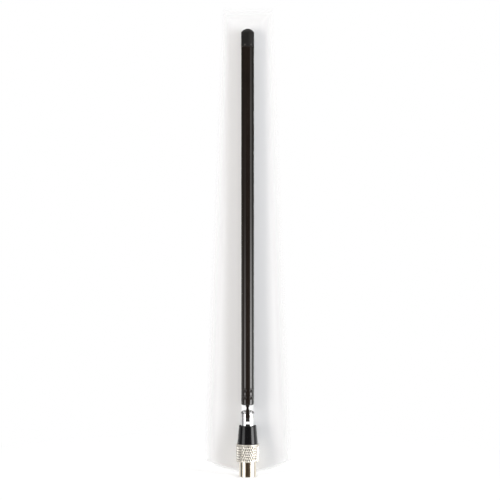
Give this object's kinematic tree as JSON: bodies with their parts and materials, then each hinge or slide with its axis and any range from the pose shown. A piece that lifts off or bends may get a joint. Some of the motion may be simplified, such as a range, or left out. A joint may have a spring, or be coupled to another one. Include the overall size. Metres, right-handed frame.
{
  "type": "telescopic antenna",
  "caption": "Black telescopic rod antenna with a tilting knuckle, a swivelling fork and a knurled coaxial plug for an aerial socket.",
  "frame": {"origin": "centre of the plug's mouth, on the plug's axis", "axes": "+Z from the plug's mouth along the mast to the tip cap; X along the hinge pin"},
  "size_m": [0.0126, 0.0126, 0.2483],
  "materials": {
    "nickel_plate": "bright nickel plate on turned brass",
    "chrome_plate": "bright chrome plate on turned brass",
    "black_moulding": "glossy black moulded plastic",
    "black_lacquer": "semi-gloss black lacquer on drawn tube",
    "black_cap_lacquer": "satin black lacquer on a drawn cap",
    "white_polyethylene": "natural moulded polyethylene",
    "bare_brass": "turned brass",
    "phosphor_bronze": "rolled phosphor bronze",
    "spring_steel": "zinc-plated spring steel"
  },
  "bodies": {
    "plug": {"plug_shell": "nickel_plate", "plug_insulator": "white_polyethylene", "centre_pin": "nickel_plate", "contact_spring": "phosphor_bronze", "knurled_sleeve": "nickel_plate", "collar": "black_moulding", "swivel_bush": "bare_brass"},
    "swivel_fork": {"fork": "chrome_plate", "retaining_clip": "spring_steel", "spring_washer": "spring_steel", "hinge_pin": "chrome_plate"},
    "base_section": {"knuckle": "black_lacquer", "base_tube": "black_lacquer"},
    "second_section": {"second_tube": "black_lacquer", "second_contact": "phosphor_bronze"},
    "third_section": {"third_tube": "black_lacquer", "third_contact": "phosphor_bronze"},
    "fourth_section": {"fourth_tube": "black_lacquer", "fourth_contact": "phosphor_bronze"},
    "fifth_section": {"fifth_tube": "black_lacquer", "fifth_contact": "phosphor_bronze"},
    "sixth_section": {"sixth_tube": "black_lacquer", "sixth_contact": "phosphor_bronze"},
    "tip_section": {"tip_rod": "black_lacquer", "rod_contact": "phosphor_bronze", "tip_plug": "bare_brass", "tip_cap": "black_cap_lacquer"}
  },
  "joints": [
    {"name": "swivel", "type": "hinge", "parent": "plug", "child": "swivel_fork", "pos_m": [0, 0, 0.0242], "axis": [0, 0, 1], "continuous": true},
    {"name": "tilt", "type": "hinge", "parent": "swivel_fork", "child": "base_section", "pos_m": [0, 0, 0.03305], "axis": [1, 0, 0], "range_deg": [-90, 90]},
    {"name": "second_slide", "type": "slide", "parent": "base_section", "child": "second_section", "axis": [0, 0, 1], "range_m": [0, 0.1836]},
    {"name": "third_slide", "type": "slide", "parent": "second_section", "child": "third_section", "axis": [0, 0, 1], "range_m": [0, 0.1787]},
    {"name": "fourth_slide", "type": "slide", "parent": "third_section", "child": "fourth_section", "axis": [0, 0, 1], "range_m": [0, 0.1738]},
    {"name": "fifth_slide", "type": "slide", "parent": "fourth_section", "child": "fifth_section", "axis": [0, 0, 1], "range_m": [0, 0.1689]},
    {"name": "sixth_slide", "type": "slide", "parent": "fifth_section", "child": "sixth_section", "axis": [0, 0, 1], "range_m": [0, 0.164]},
    {"name": "tip_slide", "type": "slide", "parent": "sixth_section", "child": "tip_section", "axis": [0, 0, 1], "range_m": [0, 0.1591]}
  ]
}
